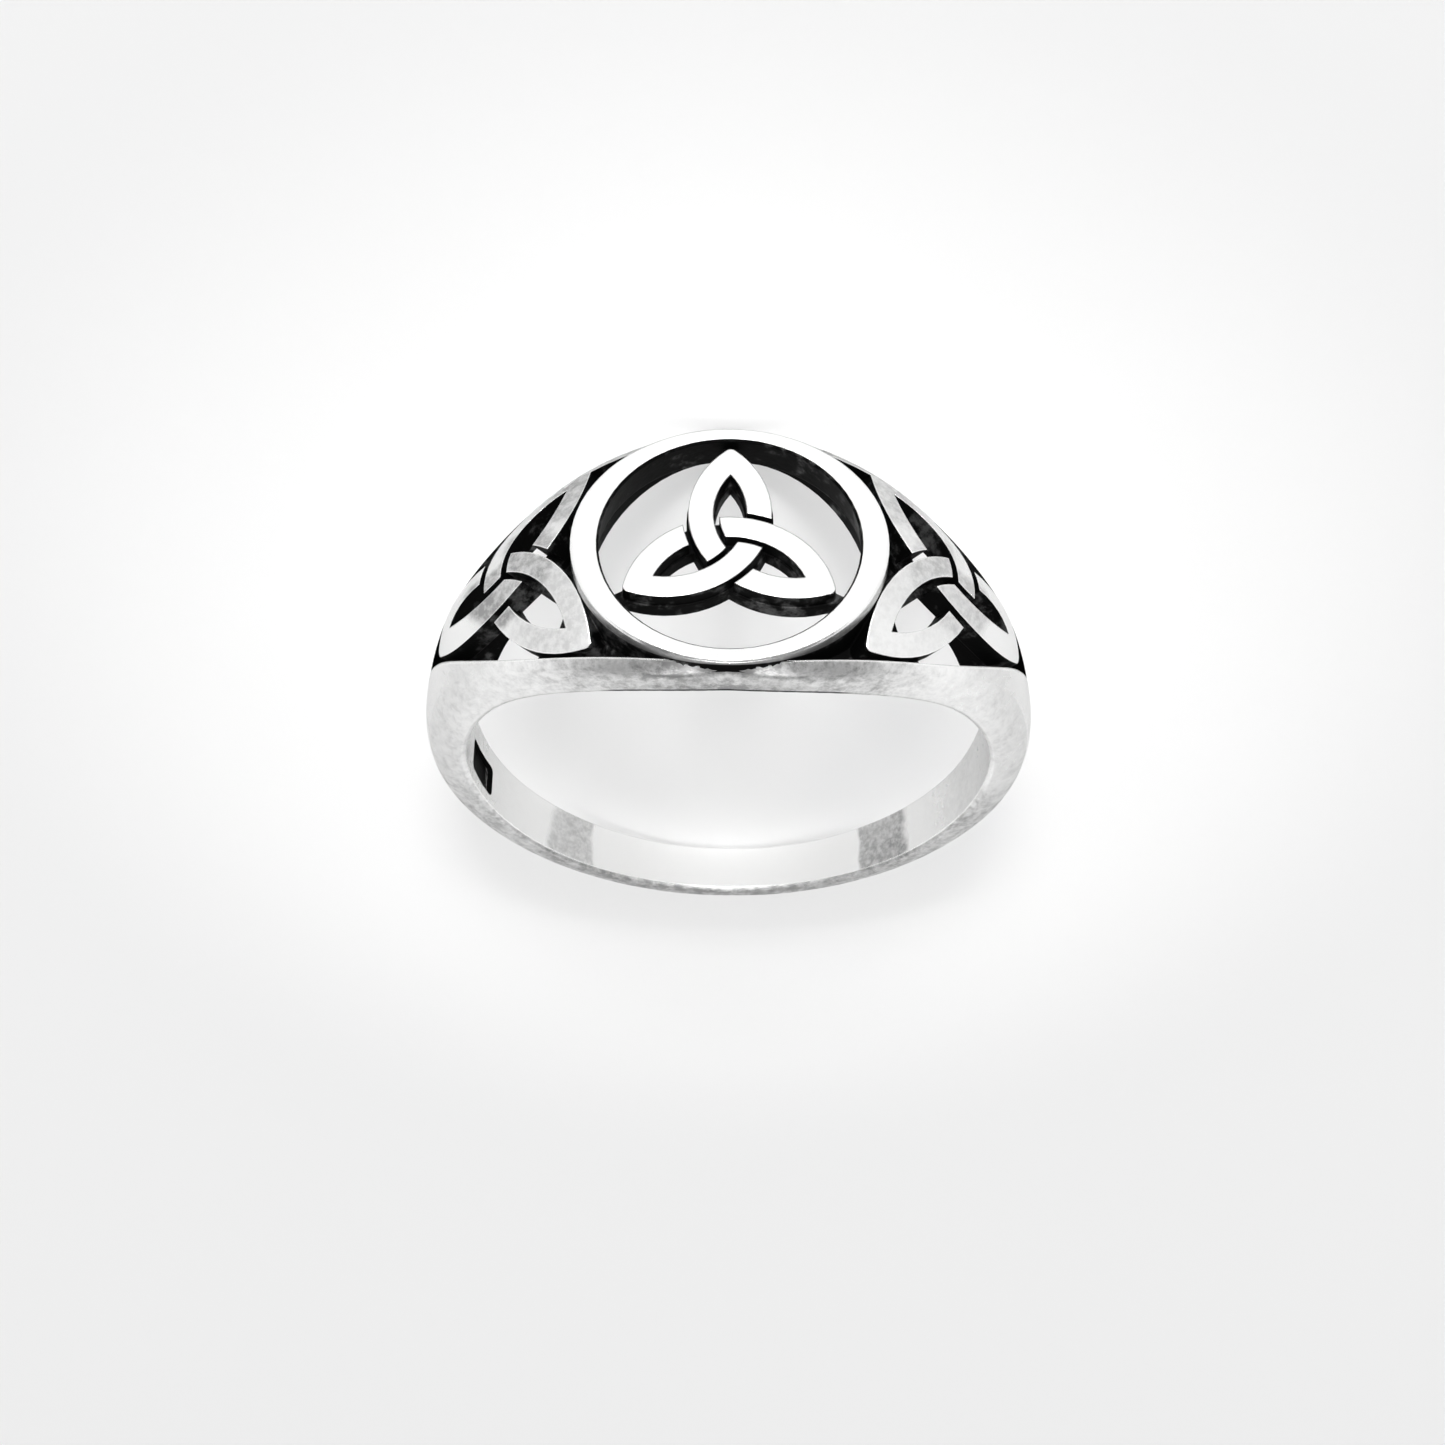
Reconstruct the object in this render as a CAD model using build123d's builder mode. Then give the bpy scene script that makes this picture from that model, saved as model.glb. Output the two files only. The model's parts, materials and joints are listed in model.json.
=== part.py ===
"""A silver ring with three trefoil knots: a pierced one in a round bezel and one on each shoulder."""
from build123d import *
import os
from math import atan2, cos, degrees, radians, sin

# Driving sizes in millimetres. The ring is modelled upright and laid on its side at
# the end: the finger goes through along Y, the bezel is on top at +Z, X is sideways.

# Band and finger hole
bore_radius = 8.65
shoulder_thickness = 1.4
shank_thickness = 1.15
head_half_width = 4.62
shank_half_width = 0.9
dome_height = 0.8
rail_rounding = 0.3
bore_edge_rounding = 0.25
worn_flat = 0.04

# Bezel rim with its round opening
bezel_height = 10.15
rim_half_length = 4.9
rim_edge_margin = 0.06
opening_radius = 4.03
opening_draft = 0.15
rim_depth = 1.25
underside_step = 0.25
rim_chamfer = 0.07

# Dark recess round the knots, which follows the dome at its own depth
recess_depth = 0.6
recess_end_turn = 74.8
rail_width = 0.28

# Pierced knot in the opening: three circles round its middle, cut off where they meet
knot_circle_radius = 2.9
knot_circle_offset = 2.3
knot_strand = 0.78
knot_crossing_gap = 0.18
knot_top_gap = 0.04
knot_depth = 0.9
knot_groove = 0.45
knot_foot_margin = 0.05
knot_tip_rounding = 0.22
bridge_width = 0.5

# Pierced knots on the shoulders. Their places are measured from the middle of the
# knot: length runs towards the bezel, width runs along the finger.
shoulder_turn = 41
shoulder_knot_size = 3.5
shoulder_strand = 0.74
shoulder_crossing_gap = 0.26
shoulder_groove_lift = 0.25
shoulder_tip_rounding = 0.22
window_lift = 0.05
window_length_place = -0.75
window_width_place = 1.4
window_half_length = 2.35
window_half_width = 1.6

# How far from the middle of a knot its crossings lie, as a share of its circles' radius
crossing_reach = 0.65

# Plain stamped field inside the band, a little nearer to its front edge
stamp_turn = 255.5
stamp_front_place = 0.16
stamp_length = 2.0
stamp_width = 1.15
stamp_corner = 0.2
stamp_depth = 0.15

# Sections round one half of the band. side is the share of the way from the shank's
# half width to the head's, crown the share of that half width that the rounded back
# of the band keeps, wall the share of the way from the shank's thickness to the
# shoulder's. dome and floor are the shares of the dome's height by which the back of
# the band and the floor of the recess rise at their middle. rail is how many rail
# widths the recess keeps from the edge of the crown.
sections = [
    {"angle": 0, "side": 1.0, "crown": 0.99, "wall": 1.0, "dome": 0.3, "floor": 0.0, "rail": 0.54},
    {"angle": 12, "side": 0.975, "crown": 0.99, "wall": 1.0, "dome": 0.5, "floor": 0.0, "rail": 1.0},
    {"angle": 24, "side": 0.875, "crown": 0.97, "wall": 1.0, "dome": 0.85, "floor": 0.2, "rail": 1.07},
    {"angle": 38, "side": 0.7, "crown": 0.92, "wall": 1.0, "dome": 0.96, "floor": 0.58, "rail": 0.96},
    {"angle": 52, "side": 0.5, "crown": 0.8, "wall": 1.0, "dome": 0.92, "floor": 0.55, "rail": 1.0},
    {"angle": 66, "side": 0.34, "crown": 0.6, "wall": 1.0, "dome": 0.38, "floor": 0.1, "rail": 1.8},
    {"angle": 82, "side": 0.205, "crown": 0.5, "wall": 1.0, "dome": 0.05, "floor": 0.0, "rail": 1.0},
    {"angle": 100, "side": 0.1, "crown": 0.5, "wall": 0.95, "dome": 0.0, "floor": 0.0, "rail": 1.0},
    {"angle": 124, "side": 0.04, "crown": 0.5, "wall": 0.6, "dome": 0.0, "floor": 0.0, "rail": 1.0},
    {"angle": 152, "side": 0.01, "crown": 0.5, "wall": 0.2, "dome": 0.0, "floor": 0.0, "rail": 1.0},
    {"angle": 180, "side": 0.0, "crown": 0.5, "wall": 0.0, "dome": 0.0, "floor": 0.0, "rail": 1.0},
]

# The circles of a shoulder knot as shares of its size, so that each strand runs over
# the next one. This hand-drawn knot leans a little towards the front of the ring.
shoulder_knot_shape = [
    {"length": -0.445, "width": 0.83, "radius": 1.09},
    {"length": 0.814, "width": 0.07, "radius": 0.943},
    {"length": -0.254, "width": -0.8, "radius": 1.0},
]

# Shares that shape the sections of the band: where the bore cuts the rounding of its
# edges, where the sides end below the crown, and where they bulge on the way up
rounding_share = 0.7
side_top_share = 0.9
bulge_share = 0.5
bulge_reach = 0.75

outer_radius = bore_radius + shoulder_thickness
rim_half_width = head_half_width - rim_edge_margin
floor_radius = outer_radius - recess_depth
knot_top = bezel_height - knot_top_gap
opening_foot = opening_radius + opening_draft + underside_step
contact_radius = bore_radius + rounding_share * bore_edge_rounding

# Bodies that cut or are cut start well inside the finger hole and end well outside the ring
core_radius = 0.5 * bore_radius
section_foot = 0.95 * bore_radius
finger_length = 4 * head_half_width
least_arc_rise = 0.02


def across(turn):
    """Give the plane across the band at a turn from the bezel, its X along the finger and its Y outwards."""
    angle = radians(turn)
    return Plane(origin=(0, 0, 0), x_dir=(0, 1, 0), z_dir=(cos(angle), 0, -sin(angle)))


def facing(turn):
    """Give the plane that faces outwards at a turn from the bezel, its Y along the finger."""
    angle = radians(turn)
    return Plane(origin=(0, 0, 0), x_dir=(cos(angle), 0, -sin(angle)), z_dir=(sin(angle), 0, cos(angle)))


def half_width(row):
    return shank_half_width + row["side"] * (head_half_width - shank_half_width)


def crown_half_width(row):
    return half_width(row) * row["crown"]


def band_section(row, turn):
    """Draw one cross-section of the band at a turn from the bezel."""
    half = half_width(row)
    wall = shank_thickness + row["wall"] * (shoulder_thickness - shank_thickness)
    crown = crown_half_width(row)
    crest = bore_radius + wall + row["dome"] * dome_height
    side_top = bore_radius + side_top_share * wall
    bulge = (crown + bulge_reach * (half - crown), bore_radius + bulge_share * wall)
    inner = half - bore_edge_rounding
    rounding_foot = contact_radius - bore_edge_rounding
    diagonal = bore_edge_rounding * cos(radians(45))
    with BuildSketch(across(turn)) as section:
        with BuildLine():
            Line((-inner, section_foot), (inner, section_foot))
            for side in (1, -1):
                Line((side * inner, section_foot), (side * inner, rounding_foot))
                ThreePointArc(
                    (side * inner, rounding_foot),
                    (side * (inner + diagonal), contact_radius - diagonal),
                    (side * half, contact_radius),
                )
                ThreePointArc(
                    (side * half, contact_radius),
                    (side * bulge[0], bulge[1]),
                    (side * crown, side_top),
                )
            ThreePointArc((crown, side_top), (0, crest), (-crown, side_top))
        make_face()
        fillet(section.vertices().sort_by(Axis.Y)[-2:], rail_rounding)
    return section.sketch


def floor_section(row, turn, lift=0.0):
    """Draw what lies under the recess at a turn from the bezel, raised by a lift."""
    half = half_width(row)
    edge = floor_radius + lift
    with BuildSketch(across(turn)) as section:
        with BuildLine():
            Polyline((-half, edge), (-half, core_radius), (half, core_radius), (half, edge))
            ThreePointArc((half, edge), (0, edge + least_arc_rise + row["floor"] * dome_height), (-half, edge))
        make_face()
    return section.sketch


def loft_band(section, **options):
    """Loft a section round one half of the band and mirror it."""
    with BuildPart() as body:
        # The sections past the ends of the half keep the band smooth where its halves meet
        add(section(sections[1], -sections[1]["angle"], **options))
        for row in sections:
            add(section(row, row["angle"], **options))
        add(section(sections[-2], 360 - sections[-2]["angle"], **options))
        loft()
        split(bisect_by=Plane.YZ, keep=Keep.TOP)
        mirror(about=Plane.YZ)
    return body.part


def discs(circles, growth):
    """Draw the discs of some circles, each grown by a margin."""
    with BuildSketch() as drawing:
        for centre, radius in circles:
            with Locations(centre):
                Circle(radius + growth)
    return drawing.sketch


def hoop(circle, width):
    """Draw a strand that goes all round its circle."""
    centre, radius = circle
    with BuildSketch() as drawing:
        with Locations(centre):
            Circle(radius + width / 2)
            Circle(radius - width / 2, mode=Mode.SUBTRACT)
    return drawing.sketch


def knot(circles, width, tip_rounding):
    """Draw a knot of three strands on three circles, with a rounded tip where two of them meet."""
    strands = []
    for circle in circles:
        with BuildSketch() as strand:
            add(hoop(circle, width))
            add(discs([other for other in circles if other != circle], width / 2), mode=Mode.INTERSECT)
        strands.append(strand.sketch)
    with BuildSketch() as whole:
        add(strands)
        fillet(whole.vertices().sort_by_distance((0, 0, 0))[-3:], tip_rounding)
    return whole.sketch


def crossings(circles, width, gap):
    """Draw the gaps where each strand of a knot stops short of the one that passes over it."""
    gaps = []
    for index, circle in enumerate(circles):
        over = circles[index - 1]
        with BuildSketch() as crossing:
            add(hoop(over, width + 2 * gap))
            add(hoop(over, width), mode=Mode.SUBTRACT)
            add(hoop(circle, width + gap), mode=Mode.INTERSECT)
            Circle(over[1] * crossing_reach, mode=Mode.INTERSECT)
        gaps.append(crossing.sketch)
    with BuildSketch() as whole:
        add(gaps)
    return whole.sketch


def polar(radius, turn):
    return (radius * cos(radians(turn)), radius * sin(radians(turn)))


# Each strand passes over the next one in its list
centre_circles = [(polar(knot_circle_offset, turn), knot_circle_radius) for turn in (270, 150, 30)]
shoulder_circles = [
    ((row["length"] * shoulder_knot_size, row["width"] * shoulder_knot_size), row["radius"] * shoulder_knot_size)
    for row in shoulder_knot_shape
]
shoulder_plane = facing(-shoulder_turn).offset(core_radius)

with BuildPart() as shoulder_strands:
    with BuildSketch(shoulder_plane):
        add(knot(shoulder_circles, shoulder_strand, shoulder_tip_rounding))
    extrude(amount=outer_radius)
    mirror(about=Plane.YZ)

with BuildPart() as shoulder_grooves:
    with BuildSketch(shoulder_plane):
        add(crossings(shoulder_circles, shoulder_strand, shoulder_crossing_gap))
    extrude(amount=outer_radius)
    mirror(about=Plane.YZ)
    add(loft_band(floor_section, lift=shoulder_groove_lift), mode=Mode.SUBTRACT)

# Outline of a quarter of the recess, seen from above, which keeps inside the band's crown
recess_quarter = [
    (outer_radius * sin(radians(row["angle"])), crown_half_width(row) - row["rail"] * rail_width)
    for row in sections
    if row["angle"] < recess_end_turn
]
recess_end = (outer_radius * sin(radians(recess_end_turn)), 0)

with BuildPart() as outline:
    with BuildSketch():
        with BuildLine():
            for side in (1, -1):
                right = [(x, side * y) for x, y in recess_quarter + [recess_end]]
                Spline([(-x, y) for x, y in right[:0:-1]] + right)
        make_face()
    extrude(amount=2 * outer_radius)

with BuildPart() as recess:
    add(outline.part)
    add(loft_band(floor_section), mode=Mode.SUBTRACT)
    add(shoulder_strands.part, mode=Mode.SUBTRACT)

with BuildPart() as windows:
    with BuildSketch(shoulder_plane):
        for side in (1, -1):
            with Locations((window_length_place, side * window_width_place)):
                Ellipse(window_half_length, window_half_width)
    extrude(amount=outer_radius)
    mirror(about=Plane.YZ)
    add(outline.part, mode=Mode.INTERSECT)
    add(loft_band(floor_section, lift=window_lift), mode=Mode.INTERSECT)

with BuildPart() as rim:
    with BuildSketch():
        Ellipse(rim_half_length, rim_half_width)
    extrude(amount=bezel_height)
    chamfer(rim.edges().group_by(Axis.Z)[-1], rim_chamfer)
    Cylinder(floor_radius - rim_chamfer, finger_length, rotation=(90, 0, 0), mode=Mode.SUBTRACT)

with BuildPart() as opening:
    with BuildSketch(Plane.XZ):
        rim_under = bezel_height - rim_depth
        with BuildLine():
            Polyline(
                (0, 0),
                (opening_foot, 0),
                (opening_foot, rim_under),
                (opening_radius + opening_draft, rim_under),
                (opening_radius, bezel_height - rim_chamfer),
                (opening_radius + rim_chamfer, bezel_height),
                (opening_radius + rim_chamfer, 2 * bezel_height),
                (0, 2 * bezel_height),
                close=True,
            )
        make_face()
    revolve(axis=Axis.Z)

with BuildPart() as centre_knot:
    with BuildSketch(Plane.XY.offset(knot_top - knot_groove)):
        add(knot(centre_circles, knot_strand, knot_tip_rounding))
        add(crossings(centre_circles, knot_strand, knot_crossing_gap), mode=Mode.SUBTRACT)
    extrude(amount=knot_groove)
    with BuildSketch(Plane.XY.offset(knot_top - knot_depth)):
        add(knot(centre_circles, knot_strand + 2 * knot_foot_margin, knot_tip_rounding))
        for turn in (90, 210, 330):
            with BuildLine():
                Line(polar(knot_circle_radius, turn), polar(opening_foot, turn))
            trace(line_width=bridge_width)
    extrude(amount=knot_depth - knot_groove)

with BuildPart() as stamp:
    with BuildSketch(facing(stamp_turn).offset(core_radius)):
        with Locations((0, -stamp_front_place)):
            RectangleRounded(stamp_length, stamp_width, stamp_corner)
    extrude(amount=bore_radius - core_radius + stamp_depth)

with BuildPart() as ring:
    add(loft_band(band_section))
    Cylinder(bore_radius, finger_length, rotation=(90, 0, 0), mode=Mode.SUBTRACT)
    add([recess.part, shoulder_grooves.part, windows.part], mode=Mode.SUBTRACT)
    add(rim.part)
    add(opening.part, mode=Mode.SUBTRACT)
    add(centre_knot.part)
    add(stamp.part, mode=Mode.SUBTRACT)

# Laid on the back edges of its bezel and its shank, which are worn flat there, with the
# bezel towards -Y
lean = degrees(atan2(head_half_width - shank_half_width, 2 * contact_radius))
turned = ring.part.rotate(Axis.X, lean - 90).rotate(Axis.Z, 180)
box = turned.bounding_box()
with BuildPart() as lying:
    with Locations((-box.center().X, -box.center().Y, -box.min.Z - worn_flat)):
        add(turned)
    split(bisect_by=Plane.XY, keep=Keep.TOP)

os.makedirs("parts", exist_ok=True)
lying.part.label = "ring"
export_step(lying.part, "parts/ring.step")
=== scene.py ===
"""Dress the cast silver knot ring in polished and blackened silver, lying in a pale studio."""

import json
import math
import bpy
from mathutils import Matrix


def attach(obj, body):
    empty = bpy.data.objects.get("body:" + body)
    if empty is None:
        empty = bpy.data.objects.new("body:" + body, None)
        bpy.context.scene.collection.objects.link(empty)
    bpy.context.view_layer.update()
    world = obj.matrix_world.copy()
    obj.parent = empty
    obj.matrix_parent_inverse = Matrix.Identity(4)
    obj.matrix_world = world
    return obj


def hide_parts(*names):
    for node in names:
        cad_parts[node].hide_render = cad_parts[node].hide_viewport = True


bl_info = {
    "name": "Celtic Knot Ring",
    "version": (1, 0, 0),
    "blender": (4, 5, 0),
    "location": "View3D > Sidebar > Ring",
    "description": "Finishes a cast silver knot ring and sets up its studio",
    "category": "Object",
}

import bmesh
import bpy
from bpy.props import FloatProperty, FloatVectorProperty, PointerProperty
from mathutils import Vector

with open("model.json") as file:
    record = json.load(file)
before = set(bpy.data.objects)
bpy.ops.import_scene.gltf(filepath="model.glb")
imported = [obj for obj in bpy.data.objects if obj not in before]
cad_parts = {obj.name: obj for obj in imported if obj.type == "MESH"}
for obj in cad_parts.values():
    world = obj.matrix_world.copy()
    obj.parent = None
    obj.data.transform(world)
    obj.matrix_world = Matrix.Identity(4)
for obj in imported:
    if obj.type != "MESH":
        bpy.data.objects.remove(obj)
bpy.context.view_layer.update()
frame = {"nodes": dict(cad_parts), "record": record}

MM = 0.001
MERGE_DISTANCE = 0.00001 * MM

# The finger hole's middle and direction, and the directions sideways and towards the bezel
FINGER = frame["record"]["mounts"][0]
HOLE_MIDDLE = Vector(FINGER["pos_m"])
ALONG = Vector(FINGER["axis"]).normalized()
SIDEWAYS = Vector((1.0, 0.0, 0.0))
TO_BEZEL = SIDEWAYS.cross(ALONG)

# Places on the ring in millimetres, and in degrees from the bezel, as part.py has them
BORE_RADIUS = 8.65
ON_BORE = BORE_RADIUS + 0.005
OPENING_RADIUS = 4.03
OPENING_FOOT = 4.45
OPENING_NEAR_EDGE = 4.3
RIM_HALF_LENGTH = 4.9
RIM_HALF_WIDTH = 4.56
RIM_FOOT_RADIUS = 9.25
RIM_TOP_HEIGHT = 10.05
KNOT_TOP_HEIGHT = 9.9
BEZEL_END_TURN = 33
SHOULDER_TURNS = (18, 72)
RECESS_END_TURN = 76.0
RECESS_LEAST_DEPTH = 0.3
RAIL_WIDTH = 0.2
STAMP_TURNS = (90, 120)
STAMP_ALONG = (-0.45, 0.75)
STAMP_RADIUS = BORE_RADIUS + 0.165

# The rim's outer wall, in shares of its half length and half width
RIM_WALL = (0.985, 1.01)

# How squarely a face looks outwards to be a top, on a shoulder, the pierced knot and the rim
SHOULDER_TOP = 0.6
KNOT_TOP = 0.8
RIM_TOP = 0.99

# Past this a face beside the bezel's opening is the band's side: its lean along the finger, as a
# cosine, times its distance from the band's middle in millimetres
BAND_SIDE = 0.1

# The back of the band at some turns from the bezel, in millimetres: half the width of its
# crown, the radius at the crown's edges, and how far the middle stands above them
CROWN = [
    {"turn": 0, "half": 4.57, "edge": 9.91, "rise": 0.38},
    {"turn": 12, "half": 4.48, "edge": 9.91, "rise": 0.54},
    {"turn": 24, "half": 4.03, "edge": 9.91, "rise": 0.82},
    {"turn": 38, "half": 3.22, "edge": 9.91, "rise": 0.91},
    {"turn": 52, "half": 2.21, "edge": 9.91, "rise": 0.88},
    {"turn": 66, "half": 1.30, "edge": 9.91, "rise": 0.44},
    {"turn": 82, "half": 0.83, "edge": 9.91, "rise": 0.18},
    {"turn": 180, "half": 0.45, "edge": 9.68, "rise": 0.12},
]

# The crossings of a shoulder's knot, and how far a degree goes round there
KNOT_TURN = 40.5
MM_PER_DEGREE = 0.175

# Where each finish comes in: none of it at the first value and all of it at the second, or else
# from the third value to the fourth. Turns are in degrees from the bezel, heights, radii and
# places along the finger in millimetres. Edges go by the cosine between the rounded and the true
# normal, and the side by the cosine between the normal and the finger.
FADES = {
    "buffed edge": (0.99, 0.95),
    "black edge": (0.96, 0.84),
    "rim foot": (0.03, -0.03),
    "rim foot height": (0.0, 27.0, 9.98, 9.64),
    "crevice height": (9.8, 9.84),
    "crevice turn": (19.0, 17.0),
    "bore line along": (4.02, 4.2),
    "bore line outside": (8.86, 8.78),
    "bore line inside": (8.68, 8.74),
    "rubbed black": (0.26, 0.42),
    # Painted reflection inside the band: a faint grey, and a dark patch on each side of the shank
    "patch raggedness": (0.3, 0.7, -1.6, 1.6),
    "patch start": (132.0, 136.5),
    "patch end": (148.6, 146.4),
    "bore painted reflection": (134.0, 112.0, 0.03, 0.16),
    # Painted reflection on the shoulders' strands: grey near the crossings and on the rear ones,
    # less on some front strands
    "crossing raggedness": (0.35, 0.65, -0.25, 0.25),
    "crossing": (2.15, 1.45),
    "lighter strand along": (-0.2, -0.8),
    "lighter strand turn": (39.0, 43.0),
    "lighter strand": (0.0, 1.0, 1.0, 0.3),
    "rear strand along": (-1.1, -1.8),
    "rear strand turn": (38.0, 31.0),
    "faint strand reflection": (46.0, 34.0, 0.02, 0.4),
    "side": (0.3, 0.75),
    "smudge": (0.35, 0.7, 0.6, 1.4),
    # Painted shade on the band's sides, most at the head and beside the rim, broken up by the
    # smudges
    "head painted shade": (46.0, 18.0, 0.26, 0.74),
    "shank painted shade": (92.0, 114.0, 0.0, 0.36),
    "shank back painted shade": (138.0, 172.0, 0.0, 0.3),
    "beside rim height": (9.5, 9.75),
    "beside rim painted shade": (21.0, 13.0, 0.0, 0.5),
    # How cloudy and speckled all the painted grey and the smudges are
    "cloudy grey": (0.3, 0.7, 0.75, 1.2),
    "speckled grey": (0.3, 0.7, 0.7, 1.3),
}

# The painted reflection's share on the -X side and on the +X side, and the metres between which it
# changes
PATCH_SIDES = (-2 * MM, 2 * MM, 1.2, 0.75)
STRAND_SIDES = (-2 * MM, 2 * MM, 0.6, 1.0)

# The most painted reflection there is in the patches inside the shank and on the strands, and how
# much of the grey makes the silver fully satin
# The patches inside the shank are painted reflection
PATCH_REFLECTION_GREY = 0.62
# The grey on the strands is painted reflection
STRAND_REFLECTION_GREY = 0.85
FULL_SATIN_SHARE = 0.6

# Noises: scale, detail, roughness and distortion. The smudges are drawn out round the ring.
NOISES = {
    "grain": (2200.0, 5.0, 0.65, 0.0),
    "cloud": (520.0, 3.0, 0.5, 0.6),
    "soft": (380.0, 4.0, 0.55, 0.0),
    "speckle": (3800.0, 3.0, 0.7, 0.0),
    "smudge": (1.0, 6.0, 0.7, 0.4),
}
SMUDGE_STRETCH = (0.25, 0.0, 3.0)

# How many ways the rounding of an edge is looked for
BEVEL_SAMPLES = 6

# Softboxes in metres, all turned towards the ring. Only the low one casts a shadow.
LIGHTS = [
    {"name": "key", "place": (-0.03, -0.74, 0.515), "size": (0.2, 0.1), "shadow": False},
    {"name": "low", "place": (0, -0.75, 0.3), "size": (0.25, 0.1), "shadow": True},
    {"name": "front", "place": (0, -0.6, 0.09), "size": (0.5, 0.12), "shadow": False},
    {"name": "overhead", "place": (0, 0.05, 0.5), "size": (0.4, 0.4), "shadow": False},
]

# The narrow light down through the finger hole
SNOOT_PLACE = (0, -0.001, 0.3)
SNOOT_RADIUS = 0.02
SNOOT_BLEND = 0.8

# Where the tent goes from the horizon's brightness to the zenith's
TENT_HEIGHTS = (0.45, 0.75)

# The camera in metres and degrees, with its lens and its picture's width in millimetres
CAMERA_PLACE = (-0.000272, -0.067994, 0.075403)
CAMERA_TURN = (-43.188, 0.642, -179.707)
CAMERA_LENS = 74.53
CAMERA_SENSOR = 36.0
CAMERA_NEAREST = 0.001

# How often the shading of the broad surfaces is evened out, how nearly the same way a neighbour
# looks to count, and what makes the share of one that looks exactly the same way a whole
EVENING_ROUNDS = 12
SAME_WAY = 0.9
SHARE_SCALE = 10


def between(turn, column):
    """Read a column of the crown's table at a turn."""
    for low, high in zip(CROWN, CROWN[1:]):
        if turn <= high["turn"]:
            share = (turn - low["turn"]) / (high["turn"] - low["turn"])
            return low[column] + share * (high[column] - low[column])
    return CROWN[-1][column]


class Place:
    """A point's place on the ring in millimetres, with its turn from the bezel in degrees."""

    def __init__(self, point):
        offset = (point - HOLE_MIDDLE) / MM
        self.along = offset.dot(ALONG)
        self.side = offset.dot(SIDEWAYS)
        self.height = offset.dot(TO_BEZEL)
        self.radius = math.hypot(self.side, self.height)
        self.turn = math.degrees(math.atan2(abs(self.side), self.height))
        self.outwards = (SIDEWAYS * self.side + TO_BEZEL * self.height).normalized()


class RingFinish(bpy.types.PropertyGroup):
    """Sizes and colours of the ring's finish."""

    silver: FloatVectorProperty(
        name="Silver",
        description="Colour of the polished silver",
        subtype="COLOR",
        default=(0.96, 0.96, 0.955),
    )
    # The grey painted on the silver for shade and reflections, and for the smudges on the band's
    # sides
    smudge_and_painted_shade: FloatVectorProperty(
        name="Smudge and painted shade",
        description="Colour of the grey film left on the silver",
        subtype="COLOR",
        default=(0.34, 0.34, 0.34),
    )
    oxide: FloatVectorProperty(
        name="Oxide",
        description="Colour of the blackened recesses",
        subtype="COLOR",
        default=(0.006, 0.006, 0.006),
    )
    worn_oxide: FloatVectorProperty(
        name="Worn oxide",
        description="Colour where the black is rubbed",
        subtype="COLOR",
        default=(0.1, 0.1, 0.1),
    )
    polish: FloatProperty(
        name="Polish roughness",
        description="Roughness of the buffed silver",
        default=0.26,
        min=0.0,
        max=1.0,
    )
    # Roughness where the silver is painted grey
    satin: FloatProperty(
        name="Satin roughness",
        description="Roughness under the grey film",
        default=0.38,
        min=0.0,
        max=1.0,
    )
    oxide_roughness: FloatProperty(
        name="Oxide roughness",
        description="Roughness of the black",
        default=0.62,
        min=0.0,
        max=1.0,
    )
    graze: FloatVectorProperty(
        name="Edge tint",
        description="Colour of the silver at a grazing angle",
        subtype="COLOR",
        default=(0.7, 0.7, 0.7),
    )
    grain_height: FloatProperty(
        name="Grain height",
        description="Height of the casting grain",
        default=0.02 * MM,
        unit="LENGTH",
    )
    edge_radius: FloatProperty(
        name="Edge radius",
        description="How far the buff rounds an edge",
        default=0.08 * MM,
        unit="LENGTH",
    )
    crease: FloatProperty(
        name="Crease",
        description="Angle past which an edge stays sharp",
        default=math.radians(42),
        unit="ROTATION",
    )


class StudioSettings(bpy.types.PropertyGroup):
    """Sizes and brightness of the studio."""

    floor_size: FloatProperty(
        name="Floor size",
        description="Length of the floor's sides",
        default=1.6,
        unit="LENGTH",
    )
    floor_colour: FloatVectorProperty(
        name="Floor",
        description="Colour of the floor",
        subtype="COLOR",
        default=(0.86, 0.86, 0.86),
    )
    floor_roughness: FloatProperty(
        name="Floor roughness",
        description="Roughness of the floor",
        default=0.9,
        min=0.0,
        max=1.0,
    )
    horizon: FloatProperty(
        name="Horizon",
        description="Brightness of the tent at the floor",
        default=1.12,
    )
    zenith: FloatProperty(
        name="Zenith",
        description="Brightness of the tent overhead",
        default=0.12,
    )
    key_power: FloatProperty(
        name="Key power",
        description="Power of the key light",
        default=0.4,
        unit="POWER",
    )
    low_power: FloatProperty(
        name="Low power",
        description="Power of the light that casts the shadow",
        default=4.0,
        unit="POWER",
    )
    front_power: FloatProperty(
        name="Front power",
        description="Power of the lowest light before the bezel",
        default=1.1,
        unit="POWER",
    )
    overhead_power: FloatProperty(
        name="Overhead power",
        description="Power of the light overhead",
        default=0.75,
        unit="POWER",
    )
    snoot_power: FloatProperty(
        name="Snoot power",
        description="Power of the narrow light into the finger hole",
        default=5.0,
        unit="POWER",
    )
    snoot_angle: FloatProperty(
        name="Snoot angle",
        description="Width of the narrow light",
        default=math.radians(3.67),
        unit="ROTATION",
    )


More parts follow.
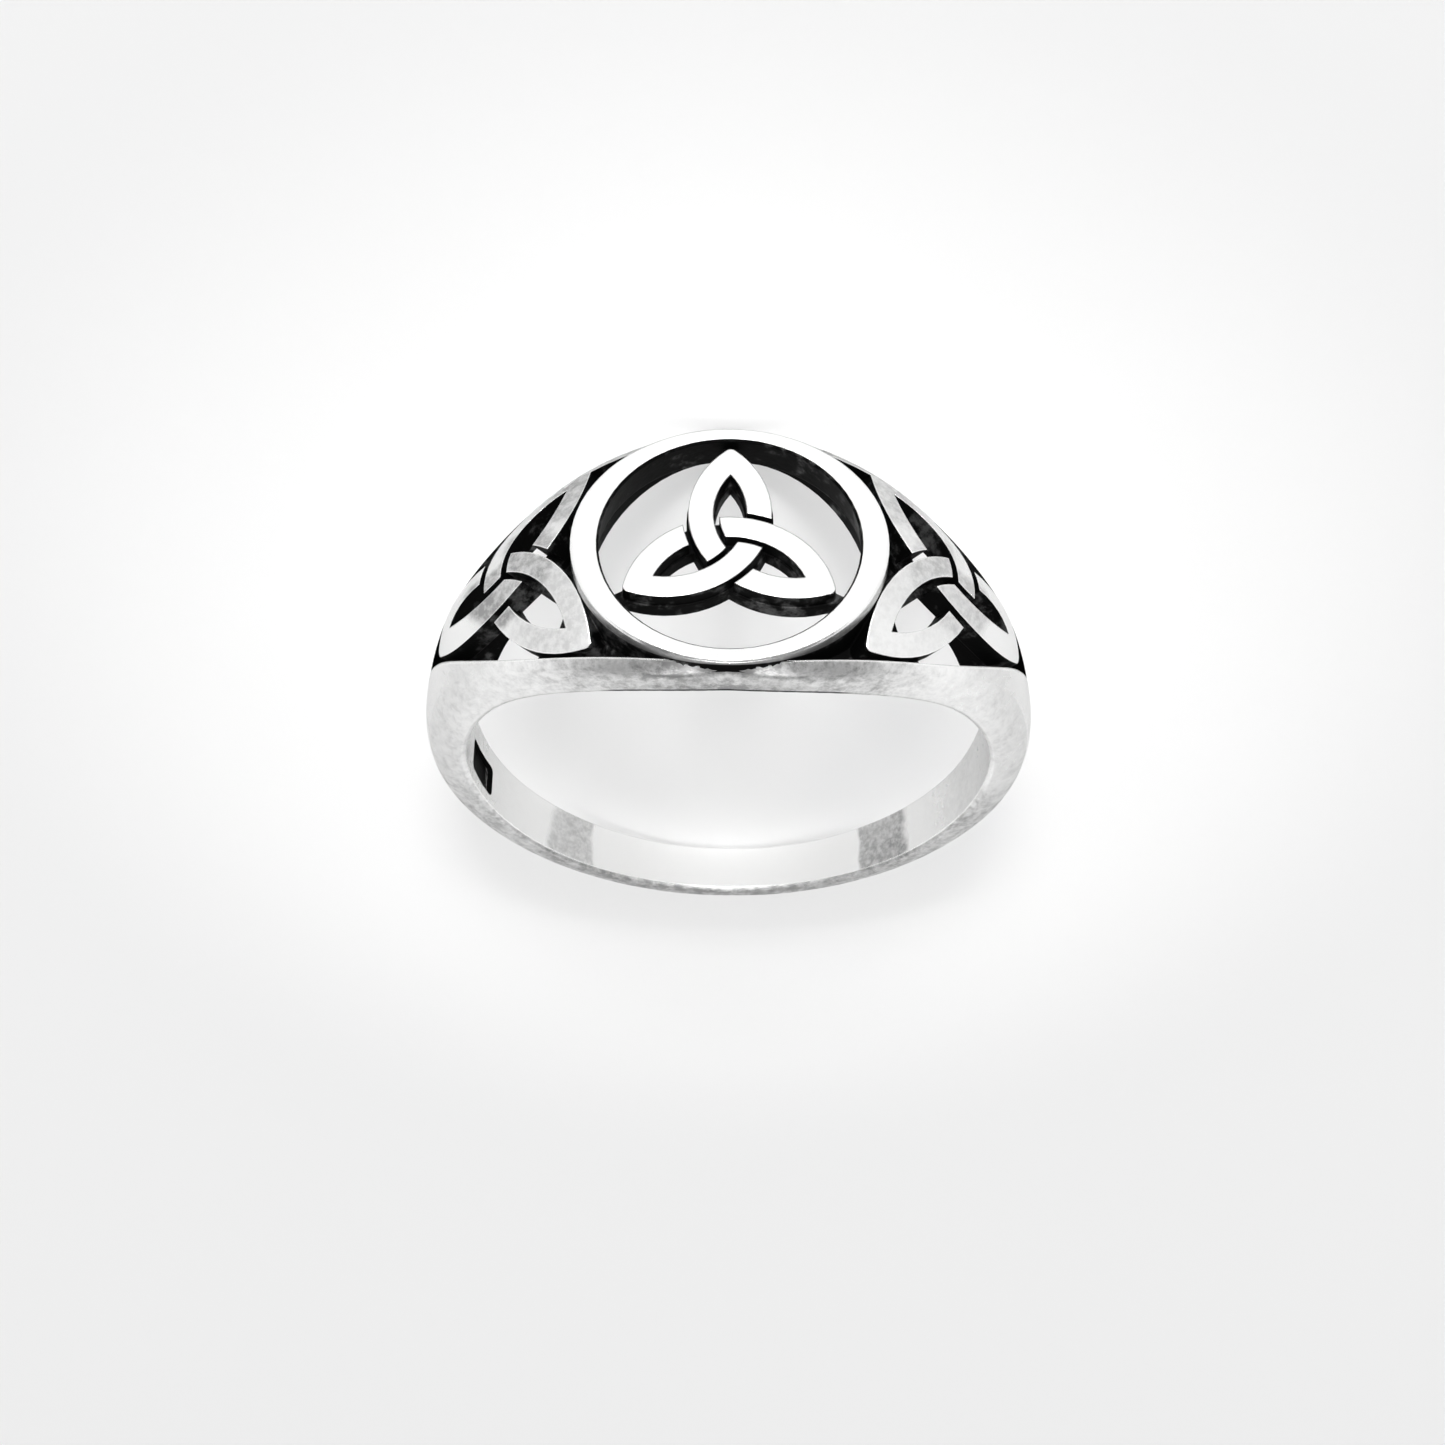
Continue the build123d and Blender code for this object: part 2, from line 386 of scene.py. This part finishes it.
def soft_normals(shape):
    """Give each face's corner normals, evened out over the surface between its creases."""
    patches = shape.copy()
    bmesh.ops.split_edges(patches, edges=[edge for edge in patches.edges if not edge.smooth])
    patches.verts.index_update()
    normals = []
    for vert in patches.verts:
        total = Vector()
        for face in vert.link_faces:
            total += face.normal * face.calc_area()
        normals.append(total.normalized())
    for _ in range(EVENING_ROUNDS):
        evened = []
        for vert in patches.verts:
            normal = normals[vert.index]
            total = normal.copy()
            for edge in vert.link_edges:
                near = normals[edge.other_vert(vert).index]
                share = max(0.0, near.dot(normal) - SAME_WAY) * SHARE_SCALE
                total += near * share * share
            evened.append(total.normalized())
        normals = evened
    corners = [[normals[loop.vert.index] for loop in face.loops] for face in patches.faces]
    patches.free()
    return corners


def mark_finish(shape, normals):
    """Store on each face corner its place on the ring and which finish it has."""
    place_mark = shape.loops.layers.float_vector.new("place")
    layers = {
        name: shape.loops.layers.float.new(name)
        for name in ("height", "side", "oxide", "bore", "strand_top", "pierced", "rim")
    }
    for face, corners in zip(shape.faces, normals):
        middle = Place(face.calc_center_median())
        kinds = {
            "oxide": is_black(face, middle),
            "bore": middle.radius < ON_BORE,
            "strand_top": is_strand_top(face, middle),
            "pierced": in_opening(middle),
            "rim": on_rim(middle),
        }
        for loop, normal in zip(face.loops, corners):
            place = Place(loop.vert.co)
            loop[place_mark] = (place.turn, place.along, place.radius)
            loop[layers["height"]] = place.height
            loop[layers["side"]] = abs(normal.dot(ALONG))
            for kind, found in kinds.items():
                loop[layers[kind]] = 1.0 if found else 0.0


def in_opening(place):
    """Tell whether a place is in the bezel's opening, at its wall or on the knot."""
    near_bezel = place.turn < BEZEL_END_TURN and place.radius > ON_BORE
    return near_bezel and math.hypot(place.side, place.along) < OPENING_FOOT


def on_rim(place):
    """Tell whether a place is on the rim's top or its outer wall."""
    reach = math.hypot(place.side / RIM_HALF_LENGTH, place.along / RIM_HALF_WIDTH)
    on_wall = RIM_WALL[0] < reach < RIM_WALL[1] and place.radius > RIM_FOOT_RADIUS
    on_top = reach < RIM_WALL[1] and place.height > RIM_TOP_HEIGHT
    return place.turn < BEZEL_END_TURN and (on_wall or on_top)


def is_black(face, place):
    """Tell whether a face at a place lies in a recess, a window, the opening or the stamp."""
    if place.radius < ON_BORE:
        return False
    leans_out = face.normal.dot(place.outwards)
    # Above zero where the face looks away from the middle of the band
    looks_away = face.normal.dot(ALONG) * place.along
    if in_opening(place):
        if looks_away > BAND_SIDE and abs(place.along) > OPENING_NEAR_EDGE:
            return False
        # The tops of the knot and the rim are bright, and the rim's inner edge isn't
        over_knot = math.hypot(place.side, place.along) < OPENING_RADIUS
        is_top = face.normal.dot(TO_BEZEL) >= (KNOT_TOP if over_knot else RIM_TOP)
        return not is_top or place.height < KNOT_TOP_HEIGHT
    if on_rim(place):
        return False
    if place.turn < RECESS_END_TURN:
        if leans_out < SHOULDER_TOP and looks_away < 0:
            return True
        half = between(place.turn, "half")
        if abs(place.along) < half - RAIL_WIDTH:
            dome = between(place.turn, "rise") * (1 - (place.along / half) ** 2)
            depth = between(place.turn, "edge") + dome - place.radius
            return depth > RECESS_LEAST_DEPTH or leans_out < SHOULDER_TOP
    in_stamp = STAMP_TURNS[0] < place.turn < STAMP_TURNS[1] and place.radius < STAMP_RADIUS
    return in_stamp and STAMP_ALONG[0] < place.along < STAMP_ALONG[1]


def is_strand_top(face, place):
    """Tell whether a face at a place is the top of a strand on a shoulder."""
    inside_rails = abs(place.along) < between(place.turn, "half") - RAIL_WIDTH
    on_shoulder = SHOULDER_TURNS[0] < place.turn < SHOULDER_TURNS[1]
    outside_bezel = not on_rim(place) and not in_opening(place)
    is_top = face.normal.dot(place.outwards) > SHOULDER_TOP
    return on_shoulder and outside_bezel and inside_rails and is_top


def feed(tree, socket, value):
    """Link a socket to an input, or set the input to a plain value."""
    if isinstance(value, bpy.types.NodeSocket):
        tree.links.new(value, socket)
    else:
        socket.default_value = value


def reckon(tree, operation, *values, clamp=False):
    """Add a Math node and give its output."""
    node = tree.nodes.new("ShaderNodeMath")
    node.operation = operation
    node.use_clamp = clamp
    for socket, value in zip(node.inputs, values):
        feed(tree, socket, value)
    return node.outputs["Value"]


def reckon_all(tree, operation, first, *others):
    """Join any number of values with Math nodes of one kind."""
    for other in others:
        first = reckon(tree, operation, first, other)
    return first


def rise(tree, value, low, high, bottom=0.0, top=1.0):
    """Add a Map Range node that goes smoothly from bottom at low to top at high."""
    node = tree.nodes.new("ShaderNodeMapRange")
    node.interpolation_type = "SMOOTHSTEP"
    given = {"Value": value, "From Min": low, "From Max": high, "To Min": bottom, "To Max": top}
    for name, number in given.items():
        feed(tree, node.inputs[name], number)
    return node.outputs["Result"]


def fade(tree, value, name):
    """Add the rise that the table of fades gives."""
    return rise(tree, value, *FADES[name])


def blend(tree, factor, low, high, kind="RGBA"):
    """Add a Mix node between two values or colours and give its output."""
    node = tree.nodes.new("ShaderNodeMix")
    node.data_type = kind
    for name, given in (("Factor", factor), ("A", low), ("B", high)):
        feed(tree, node.inputs[name], given)
    return node.outputs["Result"]


def noise(tree, vector, name):
    """Add a Noise Texture from the table of noises and give its Fac output."""
    node = tree.nodes.new("ShaderNodeTexNoise")
    feed(tree, node.inputs["Vector"], vector)
    for socket, value in zip(("Scale", "Detail", "Roughness", "Distortion"), NOISES[name]):
        node.inputs[socket].default_value = value
    return node.outputs["Fac"]


def mark(tree, name, output="Fac"):
    """Add an Attribute node that reads one of the marks on the face corners."""
    node = tree.nodes.new("ShaderNodeAttribute")
    node.attribute_name = name
    return node.outputs[output]


class Surface:
    """What the silver's masks read: the place on the ring, its rounded edges and a soft noise."""

    def __init__(self, tree, edge_radius):
        self.tree = tree
        self.spot = tree.nodes.new("ShaderNodeTexCoord").outputs["Object"]
        self.place = mark(tree, "place", "Vector")
        self.turn, self.along, self.radius = self.split(self.place)
        self.sideways = self.split(self.spot)["X"]
        self.height = mark(tree, "height")
        self.soft = noise(tree, self.spot, "soft")
        # An edge is where the normal that the buff rounds leaves the true one
        bevel = tree.nodes.new("ShaderNodeBevel")
        bevel.samples = BEVEL_SAMPLES
        bevel.inputs["Radius"].default_value = edge_radius
        self.rounded = bevel.outputs["Normal"]
        facing = tree.nodes.new("ShaderNodeVectorMath")
        facing.operation = "DOT_PRODUCT"
        feed(tree, facing.inputs[0], self.rounded)
        feed(tree, facing.inputs[1], tree.nodes.new("ShaderNodeNewGeometry").outputs["Normal"])
        self.flatness = facing.outputs["Value"]

    def split(self, vector):
        """Give the three parts of a vector."""
        node = self.tree.nodes.new("ShaderNodeSeparateXYZ")
        feed(self.tree, node.inputs["Vector"], vector)
        return node.outputs


def black_mask(surface):
    """Give where the silver is black: the recesses, with thin lines at edges beside them."""
    tree = surface.tree
    on_rim_mark, pierced = mark(tree, "rim"), mark(tree, "pierced")
    # Round the pierced knot the black comes up to the edges
    edges = reckon(tree, "MULTIPLY", pierced, fade(tree, surface.flatness, "black edge"))
    # It stays at the foot of the rim's wall, and in the crevice between the rim and the sides
    foot_height = fade(tree, surface.turn, "rim foot height")
    above_foot = reckon(tree, "SUBTRACT", surface.height, foot_height)
    rim_foot = reckon(tree, "MULTIPLY", on_rim_mark, fade(tree, above_foot, "rim foot"))
    crevice = reckon_all(
        tree,
        "MULTIPLY",
        fade(tree, surface.height, "crevice height"),
        fade(tree, surface.turn, "crevice turn"),
        reckon(tree, "SUBTRACT", 1.0, on_rim_mark),
        reckon(tree, "SUBTRACT", 1.0, pierced),
    )
    # A thin line follows the bore's edge at the head
    bore_line = reckon_all(
        tree,
        "MULTIPLY",
        fade(tree, surface.along, "bore line along"),
        fade(tree, surface.radius, "bore line outside"),
        fade(tree, surface.radius, "bore line inside"),
    )
    return reckon_all(tree, "MAXIMUM", mark(tree, "oxide"), edges, rim_foot, crevice, bore_line)


def painted_bore_reflection(surface):
    """Give the painted reflection inside the band: a faint grey, with a ragged dark patch on each
    side of the shank.
    """
    tree = surface.tree
    ragged = reckon(tree, "ADD", surface.turn, fade(tree, surface.soft, "patch raggedness"))
    patch = reckon(
        tree, "MULTIPLY", fade(tree, ragged, "patch start"), fade(tree, ragged, "patch end")
    )
    grey = rise(tree, patch, 0.0, 1.0, fade(tree, surface.turn, "bore painted reflection"), PATCH_REFLECTION_GREY)
    by_side = rise(tree, surface.sideways, *PATCH_SIDES)
    return reckon_all(tree, "MULTIPLY", mark(tree, "bore"), grey, by_side)


def painted_strand_reflection(surface):
    """Give the painted reflection on the shoulders' strands: grey near the crossings and on the
    rear ones, less on some front strands.
    """
    tree, turn, along = surface.tree, surface.turn, surface.along
    round_way = reckon(tree, "MULTIPLY", reckon(tree, "SUBTRACT", turn, KNOT_TURN), MM_PER_DEGREE)
    squares = [reckon(tree, "POWER", way, 2.0) for way in (round_way, along)]
    reach = reckon(tree, "SQRT", reckon(tree, "ADD", *squares))
    ragged = reckon(tree, "ADD", reach, fade(tree, surface.soft, "crossing raggedness"))
    lighter = reckon(
        tree,
        "MULTIPLY",
        fade(tree, along, "lighter strand along"),
        fade(tree, turn, "lighter strand turn"),
    )
    crossing = reckon(
        tree, "MULTIPLY", fade(tree, ragged, "crossing"), fade(tree, lighter, "lighter strand")
    )
    rear = reckon(
        tree,
        "MULTIPLY",
        fade(tree, along, "rear strand along"),
        fade(tree, turn, "rear strand turn"),
    )
    stain = reckon(tree, "MAXIMUM", crossing, rear)
    grey = rise(tree, stain, 0.0, 1.0, fade(tree, turn, "faint strand reflection"), STRAND_REFLECTION_GREY)
    by_side = rise(tree, surface.sideways, *STRAND_SIDES)
    return reckon_all(tree, "MULTIPLY", mark(tree, "strand_top"), grey, by_side)


def side_smudge_and_shade(surface):
    """Give the grey on the band's sides: smudges over painted shade, most at the head and beside
    the rim.
    """
    tree, turn = surface.tree, surface.turn
    stretch = tree.nodes.new("ShaderNodeVectorMath")
    stretch.operation = "MULTIPLY"
    feed(tree, stretch.inputs[0], surface.place)
    stretch.inputs[1].default_value = SMUDGE_STRETCH
    smudge = noise(tree, stretch.outputs["Vector"], "smudge")
    beside_rim = reckon(
        tree,
        "MULTIPLY",
        fade(tree, surface.height, "beside rim height"),
        fade(tree, turn, "beside rim painted shade"),
    )
    greys = [fade(tree, turn, name) for name in ("head painted shade", "shank painted shade", "shank back painted shade")]
    grey = reckon_all(tree, "ADD", *greys, beside_rim)
    side = fade(tree, mark(tree, "side"), "side")
    return reckon_all(tree, "MULTIPLY", side, grey, fade(tree, smudge, "smudge"))


def smudge_and_shade_mask(surface):
    """Give how much painted shade and reflection there is with the side smudges, cloudy and
    speckled, kept off the rounded edges so they stay bright.
    """
    tree = surface.tree
    greys = [painted_bore_reflection(surface), painted_strand_reflection(surface), side_smudge_and_shade(surface)]
    smudge_and_painted_shade = reckon_all(tree, "MAXIMUM", *greys)
    speckle = noise(tree, surface.spot, "speckle")
    smudge_and_painted_shade = reckon(tree, "MULTIPLY", smudge_and_painted_shade, fade(tree, surface.soft, "cloudy grey"))
    smudge_and_painted_shade = reckon(tree, "MULTIPLY", smudge_and_painted_shade, fade(tree, speckle, "speckled grey"), clamp=True)
    edges = fade(tree, surface.flatness, "buffed edge")
    return reckon(tree, "SUBTRACT", smudge_and_painted_shade, edges, clamp=True)


def silver_material(finish):
    """Build the silver: polished, greyed by painted shade and reflections, and black, by the marks
    on the face corners.
    """
    material = bpy.data.materials.new("silver")
    material.use_nodes = True
    tree = material.node_tree
    shader = tree.nodes["Principled BSDF"]
    shader.inputs["Metallic"].default_value = 1.0
    shader.inputs["Specular Tint"].default_value = (*finish.graze, 1)
    surface = Surface(tree, finish.edge_radius)
    black = black_mask(surface)
    smudge_and_painted_shade = smudge_and_shade_mask(surface)

    # Fine casting grain in the black, rubbed grey here and there
    grain = noise(tree, surface.spot, "grain")
    cloud = noise(tree, surface.spot, "cloud")
    rubbed = fade(tree, reckon(tree, "MULTIPLY", grain, cloud), "rubbed black")
    dark = blend(tree, rubbed, (*finish.oxide, 1), (*finish.worn_oxide, 1))
    # The silver turns grey where shade and reflections are painted and where the sides are smudged
    bright = blend(tree, smudge_and_painted_shade, (*finish.silver, 1), (*finish.smudge_and_painted_shade, 1))
    feed(tree, shader.inputs["Base Color"], blend(tree, black, bright, dark))
    satin = rise(tree, smudge_and_painted_shade, 0.0, FULL_SATIN_SHARE, finish.polish, finish.satin)
    roughness = blend(tree, black, satin, finish.oxide_roughness, "FLOAT")
    feed(tree, shader.inputs["Roughness"], roughness)

    pits = tree.nodes.new("ShaderNodeBump")
    pits.inputs["Distance"].default_value = finish.grain_height
    feed(tree, pits.inputs["Strength"], black)
    feed(tree, pits.inputs["Height"], grain)
    feed(tree, pits.inputs["Normal"], surface.rounded)
    feed(tree, shader.inputs["Normal"], pits.outputs["Normal"])
    return material


class RING_OT_dress_ring(bpy.types.Operator):
    """Even out the ring's shading, mark its finishes and give it its silver"""

    bl_idname = "ring.dress_ring"
    bl_label = "Dress the ring"

    def execute(self, context):
        finish = context.scene.ring_finish
        shape = bmesh.new()
        shape.from_mesh(frame["nodes"]["ring"].data)
        bmesh.ops.remove_doubles(shape, verts=shape.verts, dist=MERGE_DISTANCE)
        if any(edge.is_boundary for edge in shape.edges):
            raise RuntimeError("the ring's surface isn't closed")
        for face in shape.faces:
            face.smooth = True
        # The rim's outline stays sharp, as every edge past the crease's angle does
        rim = {face for face in shape.faces if on_rim(Place(face.calc_center_median()))}
        for edge in shape.edges:
            at_rim = len({face in rim for face in edge.link_faces}) == 2
            edge.smooth = not at_rim and edge.calc_face_angle(math.pi) < finish.crease
        normals = soft_normals(shape)
        mark_finish(shape, normals)
        mesh = bpy.data.meshes.new("silver_ring")
        shape.to_mesh(mesh)
        shape.free()
        mesh.normals_split_custom_set([normal for corners in normals for normal in corners])
        ring = bpy.data.objects.new("silver_ring", mesh)
        context.scene.collection.objects.link(ring)
        mesh.materials.clear()
        mesh.materials.append(silver_material(finish))
        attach(ring, "root")
        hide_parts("ring")
        return {"FINISHED"}


class RING_OT_set_stage(bpy.types.Operator):
    """Lay the floor, light it softly and set up the camera"""

    bl_idname = "ring.set_stage"
    bl_label = "Set the stage"

    def execute(self, context):
        settings = context.scene.ring_studio
        scene = context.scene
        floor_shape = bmesh.new()
        bmesh.ops.create_grid(floor_shape, x_segments=1, y_segments=1, size=settings.floor_size / 2)
        floor_mesh = bpy.data.meshes.new("floor")
        floor_shape.to_mesh(floor_mesh)
        floor_shape.free()
        floor = bpy.data.objects.new("floor", floor_mesh)
        scene.collection.objects.link(floor)
        paper = bpy.data.materials.new("paper")
        paper.use_nodes = True
        paper_shader = paper.node_tree.nodes["Principled BSDF"]
        paper_shader.inputs["Base Color"].default_value = (*settings.floor_colour, 1)
        paper_shader.inputs["Roughness"].default_value = settings.floor_roughness
        floor_mesh.materials.append(paper)

        world = bpy.data.worlds.new("tent")
        scene.world = world
        world.use_nodes = True
        tree = world.node_tree
        parts = tree.nodes.new("ShaderNodeSeparateXYZ")
        direction = tree.nodes.new("ShaderNodeTexCoord").outputs["Generated"]
        feed(tree, parts.inputs["Vector"], direction)
        tent = rise(tree, parts.outputs["Z"], *TENT_HEIGHTS, settings.horizon, settings.zenith)
        feed(tree, tree.nodes["Background"].inputs["Strength"], tent)
        tree.nodes["Background"].inputs["Color"].default_value = (1, 1, 1, 1)

        for light in LIGHTS:
            lamp = bpy.data.lights.new(light["name"], "AREA")
            lamp.shape = "RECTANGLE"
            lamp.size, lamp.size_y = light["size"]
            lamp.energy = getattr(settings, light["name"] + "_power")
            lamp.use_shadow = light["shadow"]
            softbox = bpy.data.objects.new(light["name"], lamp)
            softbox.location = light["place"]
            softbox.rotation_euler = (-softbox.location).to_track_quat("-Z", "Y").to_euler()
            scene.collection.objects.link(softbox)

        snoot = bpy.data.lights.new("snoot", "SPOT")
        snoot.energy = settings.snoot_power
        snoot.spot_size = settings.snoot_angle
        snoot.spot_blend = SNOOT_BLEND
        snoot.shadow_soft_size = SNOOT_RADIUS
        snoot.use_shadow = False
        snoot_lamp = bpy.data.objects.new("snoot", snoot)
        snoot_lamp.location = SNOOT_PLACE
        scene.collection.objects.link(snoot_lamp)

        camera_data = bpy.data.cameras.new("camera")
        camera_data.sensor_width = CAMERA_SENSOR
        camera_data.lens = CAMERA_LENS
        camera_data.clip_start = CAMERA_NEAREST
        camera = bpy.data.objects.new("camera", camera_data)
        camera.location = CAMERA_PLACE
        camera.rotation_euler = [math.radians(angle) for angle in CAMERA_TURN]
        scene.collection.objects.link(camera)
        scene.camera = camera
        scene.view_settings.view_transform = "Standard"
        return {"FINISHED"}


class RING_PT_panel(bpy.types.Panel):
    """List the steps of the ring in the sidebar"""

    bl_label = "Ring"
    bl_idname = "RING_PT_panel"
    bl_space_type = "VIEW_3D"
    bl_region_type = "UI"
    bl_category = "Ring"

    def draw(self, context):
        layout = self.layout
        layout.operator("ring.set_stage")
        layout.operator("ring.dress_ring")
        for group in (context.scene.ring_finish, context.scene.ring_studio):
            for name in type(group).__annotations__:
                layout.prop(group, name)


classes = (RingFinish, StudioSettings, RING_OT_dress_ring, RING_OT_set_stage, RING_PT_panel)


def register():
    for cls in classes:
        bpy.utils.register_class(cls)
    bpy.types.Scene.ring_finish = PointerProperty(type=RingFinish)
    bpy.types.Scene.ring_studio = PointerProperty(type=StudioSettings)


def unregister():
    del bpy.types.Scene.ring_finish
    del bpy.types.Scene.ring_studio
    for cls in reversed(classes):
        bpy.utils.unregister_class(cls)


def main():
    register()
    bpy.ops.ring.set_stage()
    bpy.ops.ring.dress_ring()


if __name__ == "__main__":
    main()
